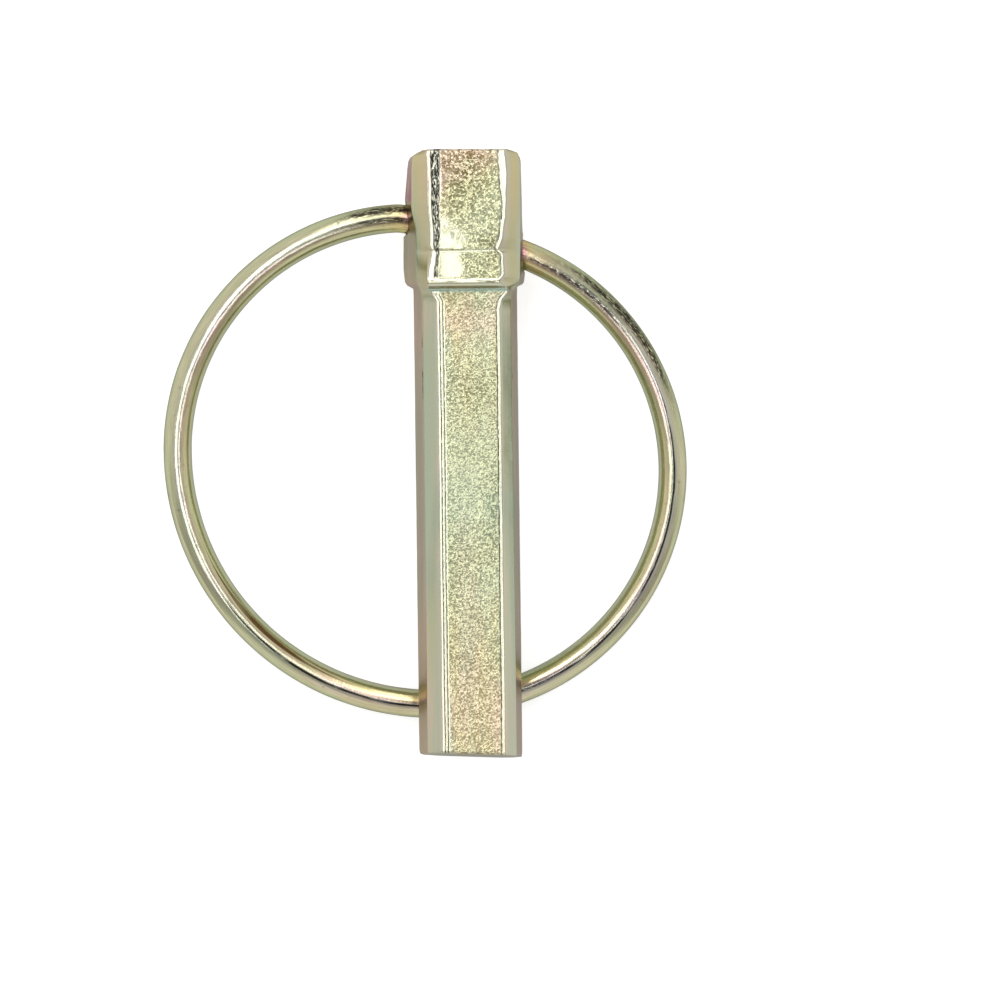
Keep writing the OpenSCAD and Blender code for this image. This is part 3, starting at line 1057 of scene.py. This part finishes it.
@dataclass
class Finishes:
    """Makes the two materials from the shared node groups."""

    passivation: bpy.types.NodeTree = field(default_factory=lambda: Passivation().group())
    grain: bpy.types.NodeTree = field(default_factory=lambda: Grain().group())
    # Colours round the wire from its outer to its inner side: chromate film tints, with near-white stops at 0.42 and
    # 0.53 along the middle of its front and back, where the highlight falls when seen from above: a painted highlight.
    film_and_highlight: tuple[tuple[float, tuple[float, float, float, float]], ...] = field(
        default_factory=lambda: (
            (0.0, rgba(180, 191, 162)),
            (0.07, rgba(188, 198, 158)),
            (0.17, rgba(208, 203, 162)),
            (0.33, rgba(211, 205, 180)),
            (0.42, rgba(217, 215, 210)),
            (0.53, rgba(212, 208, 204)),
            (0.575, rgba(192, 160, 162)),
            (0.65, rgba(224, 202, 164)),
            (0.76, rgba(210, 205, 152)),
            (0.87, rgba(182, 193, 134)),
            (0.95, rgba(178, 190, 162)),
            (1.0, rgba(190, 198, 180)),
        )
    )

    def start(self, name: str) -> tuple[bpy.types.Material, Wiring, bpy.types.Node, bpy.types.NodeSocket]:
        """Starts a metal material.

        Args:
            name: The material's name.

        Returns:
            The material, its wiring, its shader and the Object coordinates' socket.
        """
        material = bpy.data.materials.new(name)
        material.use_nodes = True
        wire = Wiring(material.node_tree)
        shader = material.node_tree.nodes["Principled BSDF"]
        shader.inputs["Metallic"].default_value = 1.0
        shader.inputs["Specular Tint"].default_value = (0.5, 0.48, 0.46, 1.0)
        place = wire.add("TexCoord").outputs["Object"]
        return material, wire, shader, place

    def mask(self, wire: Wiring, mask: Mask) -> bpy.types.NodeSocket:
        """Reads one of the piece's point attributes."""
        return wire.add("Attribute", attribute_name=mask.value).outputs["Fac"]

    def use(self, wire: Wiring, tree: bpy.types.NodeTree, **values) -> bpy.types.Node:
        """Places a node group and feeds its inputs.

        Args:
            wire: The material's wiring.
            tree: The group.
            **values: Sockets or numbers by input name.

        Returns:
            The group's node.
        """
        node = wire.add("Group", node_tree=tree)
        for label, value in values.items():
            wire.feed(node.inputs[label], value)
        return node

    def pin(self) -> bpy.types.Material:
        """Forged steel under chromate: crinkled flats with painted highlights on their ridges and painted shade in
        their hollows, satin facets, rosy sides, grooves painted dark as shade, and edge strips and the right facet
        lightened as painted light.
        """
        material, wire, shader, place = self.start("chromated_forging")
        crinkle = self.mask(wire, Mask.CRINKLE)
        rosy = self.mask(wire, Mask.ROSE)
        cavity = self.mask(wire, Mask.CAVITY)
        polish = self.mask(wire, Mask.POLISH_AND_HIGHLIGHT)
        drift = wire.add("Mapping")
        wire.join(place, drift.inputs["Vector"])
        drift.inputs["Scale"].default_value = (620.0, 45.0, 620.0)
        rose = wire.sum("ADD", wire.sum("MULTIPLY", rosy, 0.92), 0.08)
        straw = wire.mix(self.mask(wire, Mask.LEVEL), rgba(196, 189, 151), rgba(152, 172, 154))
        colour = self.use(
            wire, self.passivation, Vector=drift.outputs["Vector"], Pale=straw,
            Deep=rgba(178, 189, 164), Rose=rose, Tint=self.mask(wire, Mask.STAIN),
        ).outputs["Color"]
        split = wire.add("SeparateXYZ")
        wire.join(place, split.inputs[0])
        on_head = wire.stretch(split.outputs["Y"], -0.0005, 0.0003)
        size = wire.stretch(on_head, 0.0, 1.0, 3700.0, 2900.0)
        grain = self.use(wire, self.grain, Vector=place, Size=size).outputs
        # Painted shade and highlight on the crinkle: the hollows are darkened, more so on the head, and the ridges are
        # lightened to pale lemon or peach.
        deep = wire.sum("MULTIPLY", on_head, wire.stretch(wire.noise(place, 330.0, 2.0), 0.48, 0.66))
        hollow_shade = wire.mix(1.0, colour, wire.mix(deep, rgba(180, 175, 158), rgba(138, 128, 98)), "MULTIPLY")
        bright = wire.mix(rosy, rgba(242, 240, 190), rgba(248, 220, 194))
        ridge = wire.mix(wire.stretch(on_head, 0.0, 1.0, 0.55, 0.8), colour, bright)
        colour = wire.mix(crinkle, colour, wire.mix(grain["Height"], hollow_shade, ridge))
        # Burnished patches, and the painted highlight on the edge strips and the right facet, mixed towards a pale
        # colour.
        colour = wire.mix(wire.sum("MULTIPLY", polish, 0.8), colour, rgba(224, 221, 196))
        drawn = wire.add("Mapping")
        wire.join(place, drawn.inputs["Vector"])
        drawn.inputs["Scale"].default_value = (8200.0, 2300.0, 3000.0)
        # Painted shade in the grooves, flecked pale, and the dark scuff marks, both from the cavity mask.
        speck = wire.stretch(wire.noise(drawn.outputs["Vector"], 1.0, 2.0, 0.6, 0.4), 0.48, 0.66)
        groove_shade_and_scuff = wire.mix(speck, rgba(36, 38, 31), rgba(200, 200, 184))
        colour = wire.mix(wire.stretch(cavity, 0.15, 0.85), colour, groove_shade_and_scuff)
        colour = wire.mix(wire.sum("MULTIPLY", self.mask(wire, Mask.POOL), 0.8), colour, rgba(158, 186, 172))
        wire.join(colour, shader.inputs["Base Color"])
        rough = wire.sum("ADD", wire.sum("MULTIPLY", crinkle, 0.06), 0.22)
        rough = wire.sum("SUBTRACT", rough, wire.sum("MULTIPLY", polish, 0.07))
        wire.join(rough, shader.inputs["Roughness"])
        depth = wire.sum("MULTIPLY", crinkle, wire.stretch(on_head, 0.0, 1.0, 0.7, 1.25))
        height = wire.sum("MULTIPLY", grain["Height"], depth)
        self.bump(wire, shader, wire.sum("ADD", height, wire.sum("MULTIPLY", grain["Haze"], 0.08)), 0.00004)
        return material

    def ring(self) -> bpy.types.Material:
        """Drawn spring wire under chromate: bright, faintly drawn along its length, gold and rose at its ends, with a
        painted highlight band along the middle of its front and back and a thin painted dark reflection line along its
        front.
        """
        material, wire, shader, place = self.start("chromated_wire")
        stain = self.mask(wire, Mask.STAIN)
        cavity = self.mask(wire, Mask.CAVITY)
        patchy = wire.stretch(wire.noise(place, 420.0, 2.0), 0.35, 0.7, 0.4, 1.0)
        level = wire.stretch(self.mask(wire, Mask.LEVEL), 0.55, 1.0, 0.5, 1.0)
        tint = wire.sum("MULTIPLY", wire.sum("MULTIPLY", stain, patchy), level)
        streaks = self.drawn_lines(wire)
        round_place = wire.add("SeparateXYZ")
        wire.join(streaks, round_place.inputs[0])
        # Film tints and the painted highlight band, laid round the wire by the angle across its section.
        film_and_highlight = wire.ramp(wire.stretch(round_place.outputs["X"], -1.6, 1.6), self.film_and_highlight)
        colour = self.use(
            wire, self.passivation, Vector=streaks, Pale=film_and_highlight, Deep=wire.mix(0.5, film_and_highlight, rgba(182, 202, 148)), Rose=0.32,
            Tint=tint,
        ).outputs["Color"]
        streak = wire.noise(streaks, 5.0, 3.0, 0.6)
        colour = wire.mix(1.0, colour, wire.stretch(streak, 0.3, 0.7, 0.84, 1.08), "MULTIPLY")
        fleck = wire.noise(streaks, 3.4, 4.0, 0.65, 0.5)
        crumbled = wire.add("Mapping")
        wire.join(streaks, crumbled.inputs["Vector"])
        crumbled.inputs["Scale"].default_value = (8.0, 8.0, 22.0)
        mottle = wire.stretch(wire.noise(crumbled.outputs["Vector"], 1.0, 4.0, 0.7, 0.3), 0.39, 0.48)
        dried = wire.sum("MULTIPLY", mottle, self.mask(wire, Mask.POOL))
        burnt = wire.sum("MAXIMUM", dried, wire.sum("MULTIPLY", wire.stretch(fleck, 0.54, 0.60), tint))
        colour = wire.mix(wire.sum("MULTIPLY", burnt, 0.95), colour, rgba(34, 28, 27))
        wobble = wire.sum("MULTIPLY", wire.sum("SUBTRACT", wire.noise(streaks, 1.5), 0.5), 0.16)
        across = wire.sum("ADD", round_place.outputs["X"], wobble)
        # A broken dark brown line along the wire's front, on its inner side.
        singe = self.stripe(wire, across, 0.80, 0.27, Mask.BROWN_LINE)
        colour = wire.mix(wire.sum("MULTIPLY", singe, wire.stretch(fleck, 0.34, 0.50, 0.6, 0.95)), colour, rgba(92, 60, 28))
        # Painted reflection: a thin broken black line along the wire's front, standing for the dark gap between two
        # lamps that the wire mirrors.
        broken = wire.stretch(fleck, 0.36, 0.46, 0.5, 0.97)
        seam = self.stripe(wire, across, -0.13, 0.17, Mask.SEAM)
        colour = wire.mix(wire.sum("MULTIPLY", seam, broken), colour, rgba(16, 15, 15))
        colour = wire.mix(wire.sum("MULTIPLY", cavity, 0.6), colour, rgba(70, 66, 54))
        wire.join(colour, shader.inputs["Base Color"])
        wire.join(wire.stretch(streak, 0.3, 0.7, 0.12, 0.19), shader.inputs["Roughness"])
        haze = self.use(wire, self.grain, Vector=place, Size=1500.0).outputs["Haze"]
        height = wire.sum("ADD", wire.sum("MULTIPLY", haze, 0.3), wire.sum("MULTIPLY", streak, 0.4))
        self.bump(wire, shader, height, 0.00002)
        return material

    def stripe(
        self, wire: Wiring, across: bpy.types.NodeSocket, place: float, half: float, mask: Mask
    ) -> bpy.types.NodeSocket:
        """A line drawn along the wire, which narrows as its mask falls.

        Args:
            wire: The material's wiring.
            across: Place across the wire.
            place: Where the line lies.
            half: Half its width where the mask is 1.
            mask: The mask that it follows.

        Returns:
            The socket of a value that is 1 on the line.
        """
        away = wire.sum("ABSOLUTE", wire.sum("SUBTRACT", across, place), 0.0)
        reach = wire.sum("SUBTRACT", wire.sum("MULTIPLY", self.mask(wire, mask), half), away)
        return wire.stretch(reach, 0.0, 0.08)

    def drawn_lines(self, wire: Wiring) -> bpy.types.NodeSocket:
        """A place on the wire, wrapped round it with no break and drawn out along its length."""
        split = wire.add("SeparateXYZ")
        wire.join(wire.add("UVMap", uv_map="drawn").outputs["UV"], split.inputs[0])
        angle = wire.sum("DIVIDE", split.outputs["X"], 1.3)
        place = wire.add("CombineXYZ")
        wire.join(wire.sum("MULTIPLY", wire.sum("COSINE", angle, 0.0), 1.6), place.inputs[0])
        wire.join(wire.sum("MULTIPLY", wire.sum("SINE", angle, 0.0), 1.6), place.inputs[1])
        wire.join(wire.sum("MULTIPLY", split.outputs["Y"], 0.09), place.inputs[2])
        return place.outputs[0]

    def bump(self, wire: Wiring, shader: bpy.types.Node, height: bpy.types.NodeSocket, distance: float) -> None:
        """Feeds a height to the shader's normal.

        Args:
            wire: The material's wiring.
            shader: The shader.
            height: The height's socket.
            distance: Height in metres of a value of 1.
        """
        node = wire.add("Bump")
        node.inputs["Distance"].default_value = distance
        wire.join(height, node.inputs["Height"])
        wire.join(node.outputs["Normal"], shader.inputs["Normal"])


@dataclass(frozen=True)
class Panel:
    """A soft rectangular lamp that leans over the object."""

    name: str
    azimuth: float
    lean: float
    width: float
    length: float
    glow: float


@dataclass
class Studio:
    """The pale floor, the soft light and the camera straight above."""

    frame_width: float = 90.74
    aim: tuple[float, float] = (2.98, -19.45)
    roll: float = 0.54
    distance: float = 1600.0
    sensor: float = 36.0
    floor_size: float = 6.0
    floor_grey: float = 0.6
    floor_lift: float = 0.66
    floor_mirror: float = 0.30
    reach: float = 0.6
    panels: tuple[Panel, ...] = (
        Panel("right", 0.0, 8.8, 0.065, 0.55, 2.8),
        Panel("left", 180.0, 14.5, 0.13, 0.55, 2.6),
        Panel("head", 90.0, 38.0, 0.46, 0.34, 1.7),
        Panel("corner", 140.0, 24.5, 0.11, 0.16, 2.0),
    )
    surround: tuple[tuple[float, float], ...] = (
        (0.0, 0.03), (4.6, 0.05), (6.0, 0.5), (30.0, 0.72), (60.0, 0.85), (90.0, 0.90),
    )
    shade_below: float = 0.55

    def floor(self, height: float) -> bpy.types.Object:
        """A white floor that the camera and reflections see as white, with the object's shadow on it.

        Args:
            height: The floor's level in metres.

        Returns:
            The floor, marked as stage.
        """
        half = self.floor_size / 2
        points = np.array([[-half, -half, height], [half, -half, height], [half, half, height], [-half, half, height]])
        obj = make_mesh("floor", points, [[0, 1, 2, 3]], {})
        material = bpy.data.materials.new("white_floor")
        material.use_nodes = True
        wire = Wiring(material.node_tree)
        shader = material.node_tree.nodes["Principled BSDF"]
        shader.inputs["Base Color"].default_value = (self.floor_grey, self.floor_grey, self.floor_grey, 1.0)
        shader.inputs["Roughness"].default_value = 0.9
        shader.inputs["Specular IOR Level"].default_value = 0.0
        shader.inputs["Emission Color"].default_value = (1.0, 1.0, 1.0, 1.0)
        path = wire.add("LightPath").outputs
        mirrored = wire.sum("MAXIMUM", path["Is Glossy Ray"], path["Is Transmission Ray"])
        lift = wire.sum("MULTIPLY", path["Is Camera Ray"], self.floor_lift)
        glow = wire.sum("ADD", lift, wire.sum("MULTIPLY", mirrored, self.floor_mirror))
        wire.join(glow, shader.inputs["Emission Strength"])
        obj.data.materials.append(material)
        obj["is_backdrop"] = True
        return obj

    def sky(self) -> None:
        """A soft grey surround: dark straight overhead, where the camera is, and towards the tip's end."""
        world = bpy.data.worlds.new("surround")
        bpy.context.scene.world = world
        world.use_nodes = True
        wire = Wiring(world.node_tree)
        background = world.node_tree.nodes["Background"]
        direction = wire.add("SeparateXYZ")
        wire.join(wire.add("TexCoord").outputs["Generated"], direction.inputs[0])
        from_top = wire.sum("ARCCOSINE", direction.outputs["Z"], 0.0)
        greys = [(degrees / 90.0, (grey, grey, grey, 1.0)) for degrees, grey in self.surround]
        grey = wire.ramp(wire.stretch(from_top, 0.0, np.pi / 2), greys)
        below = wire.stretch(direction.outputs["Y"], -0.45, -0.08, self.shade_below, 1.0)
        low = wire.stretch(direction.outputs["Y"], -0.75, -0.5, 1.0, 0.0)
        shade = wire.sum("MAXIMUM", below, low)
        colour = wire.mix(1.0, grey, shade, "MULTIPLY")
        white = wire.mix(wire.add("LightPath").outputs["Is Camera Ray"], colour, (1.0, 1.0, 1.0, 1.0))
        wire.join(white, background.inputs["Color"])

    def lamps(self) -> None:
        """Places the soft panels round the object."""
        target = Vector((0.0, -0.018, 0.0))
        for panel in self.panels:
            lean, turn = np.radians(panel.lean), np.radians(panel.azimuth)
            way = Vector((np.cos(turn) * np.sin(lean), np.sin(turn) * np.sin(lean), np.cos(lean)))
            data = bpy.data.lights.new("panel_" + panel.name, "AREA")
            data.shape = "RECTANGLE"
            data.size, data.size_y = panel.width, panel.length
            data.energy = panel.glow * np.pi * panel.width * panel.length
            lamp = bpy.data.objects.new("panel_" + panel.name, data)
            bpy.context.scene.collection.objects.link(lamp)
            lamp.location = target + way * self.reach
            lamp.rotation_euler = (0.0, lean, turn)

    def camera(self) -> bpy.types.Object:
        """Looks straight down, as the photograph does, turned by its small lean.

        Returns:
            The camera.
        """
        data = bpy.data.cameras.new("camera")
        data.sensor_width = self.sensor
        data.lens = self.sensor * self.distance / self.frame_width
        data.clip_start, data.clip_end = 0.01, 20.0
        camera = bpy.data.objects.new("camera", data)
        bpy.context.scene.collection.objects.link(camera)
        camera.location = (self.aim[0] * MM, self.aim[1] * MM, self.distance * MM)
        camera.rotation_euler = (0.0, 0.0, -np.radians(self.roll))
        bpy.context.scene.camera = camera
        return camera


def corners_of(bounds) -> list[list[float]]:
    """Bounds as plain lists of numbers."""
    return [[float(v) for v in corner] for corner in bounds]


def main() -> None:
    logging.basicConfig(level=logging.INFO, format="%(name)s: %(message)s")
    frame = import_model()
    cad_box = corners_of(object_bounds())
    bpy.context.scene.view_settings.view_transform = "Standard"
    attitude = Attitude.from_record(frame["record"])
    studio = Studio()
    studio.camera()
    studio.floor(cad_box[0][2])
    studio.sky()
    studio.lamps()
    finishes = Finishes()
    pieces = (
        (ForgedPin().build(attitude), "pin", Slot.PIN, finishes.pin()),
        (WireRing().build(attitude), "ring", Slot.RING, finishes.ring()),
    )
    for piece, node, slot, material in pieces:
        piece.data.materials.clear()
        piece.data.materials.append(material)
        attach(piece, node)
        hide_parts(node)
        LOG.info("%s: %d faces", piece.name, len(piece.data.polygons))


if __name__ == "__main__":
    main()
